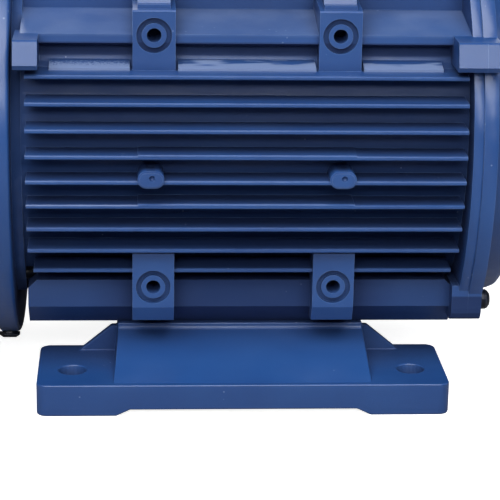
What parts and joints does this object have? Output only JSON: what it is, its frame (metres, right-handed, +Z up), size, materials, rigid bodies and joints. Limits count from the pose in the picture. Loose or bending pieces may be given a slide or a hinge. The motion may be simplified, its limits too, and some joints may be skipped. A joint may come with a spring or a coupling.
{
  "type": "electric motor",
  "caption": "Foot-mounted, enclosed, fan-cooled three-phase induction motor with a finned frame, a shaft end with keyway and a terminal box on top.",
  "frame": {"origin": "centre of the shaft shoulder, where the shaft end begins, on the shaft centre line", "axes": "+X along the shaft out of the drive end, +Z up from the feet towards the terminal box, +Y to the side of the cable entries"},
  "size_m": [0.3371, 0.173, 0.2155],
  "materials": {
    "blue_paint_cast": "satin blue paint over aluminium casting",
    "blue_paint_sheet": "satin blue paint over pressed sheet steel",
    "lamination_steel": "stacked electrical steel",
    "copper_winding": "enamelled copper wire, varnished",
    "cast_aluminium": "raw die casting",
    "machined_steel": "turned and ground",
    "bearing_steel": "ground bearing steel",
    "brass": "bright brass",
    "black_bolts": "black-finished steel",
    "zinc_fasteners": "zinc plated",
    "spring_steel": "blued spring steel",
    "rubber": "matt rubber",
    "moulded_board": "moulded insulating board",
    "black_nylon": "moulded nylon",
    "nameplate_metal": "brushed blank plate"
  },
  "bodies": {
    "stator": {"stator_frame": "blue_paint_cast", "stator_core": "lamination_steel", "stator_winding": "copper_winding", "drive_end_shield": "blue_paint_cast", "fan_end_shield": "blue_paint_cast", "drive_end_bolts": "black_bolts", "fan_end_bolts": "black_bolts", "drive_bearing_outer_ring": "bearing_steel", "fan_bearing_outer_ring": "bearing_steel", "drive_bearing_covers": "bearing_steel", "fan_bearing_covers": "bearing_steel", "wave_spring": "spring_steel", "shaft_seal": "rubber", "fan_cowl": "blue_paint_sheet", "cowl_screws": "black_bolts", "front_foot": "blue_paint_cast", "rear_foot": "blue_paint_cast", "foot_bolts": "zinc_fasteners", "terminal_box_gasket": "rubber", "terminal_box": "blue_paint_cast", "terminal_box_screws": "zinc_fasteners", "terminal_board": "moulded_board", "terminal_board_screws": "zinc_fasteners", "terminal_studs": "brass", "terminal_nuts": "brass", "terminal_links": "brass", "earth_screw": "zinc_fasteners", "lid_gasket": "rubber", "terminal_box_lid": "blue_paint_cast", "lid_screws": "zinc_fasteners", "gland_body": "black_nylon", "gland_seal": "rubber", "gland_nut": "black_nylon", "blanking_plug": "black_nylon", "nameplate": "nameplate_metal", "nameplate_rivets": "zinc_fasteners"},
    "rotor": {"shaft": "machined_steel", "rotor_core": "lamination_steel", "rotor_cage": "cast_aluminium", "drive_bearing_inner_ring": "bearing_steel", "fan_bearing_inner_ring": "bearing_steel", "drive_bearing_circlip": "spring_steel", "cooling_fan": "black_nylon", "fan_circlip": "spring_steel"},
    "drive_balls": {"drive_bearing_balls": "bearing_steel", "drive_bearing_cage": "brass"},
    "fan_balls": {"fan_bearing_balls": "bearing_steel", "fan_bearing_cage": "brass"}
  },
  "joints": [
    {"name": "rotor_spin", "type": "hinge", "parent": "stator", "child": "rotor", "pos_m": [0, 0, 0], "axis": [1, 0, 0], "continuous": true},
    {"name": "drive_balls_spin", "type": "hinge", "parent": "stator", "child": "drive_balls", "pos_m": [0, 0, 0], "axis": [1, 0, 0], "continuous": true},
    {"name": "fan_balls_spin", "type": "hinge", "parent": "stator", "child": "fan_balls", "pos_m": [0, 0, 0], "axis": [1, 0, 0], "continuous": true}
  ],
  "couplings": [
    {"joint": "drive_balls_spin", "follows": "rotor_spin", "ratio": 0.398},
    {"joint": "fan_balls_spin", "follows": "rotor_spin", "ratio": 0.398}
  ]
}
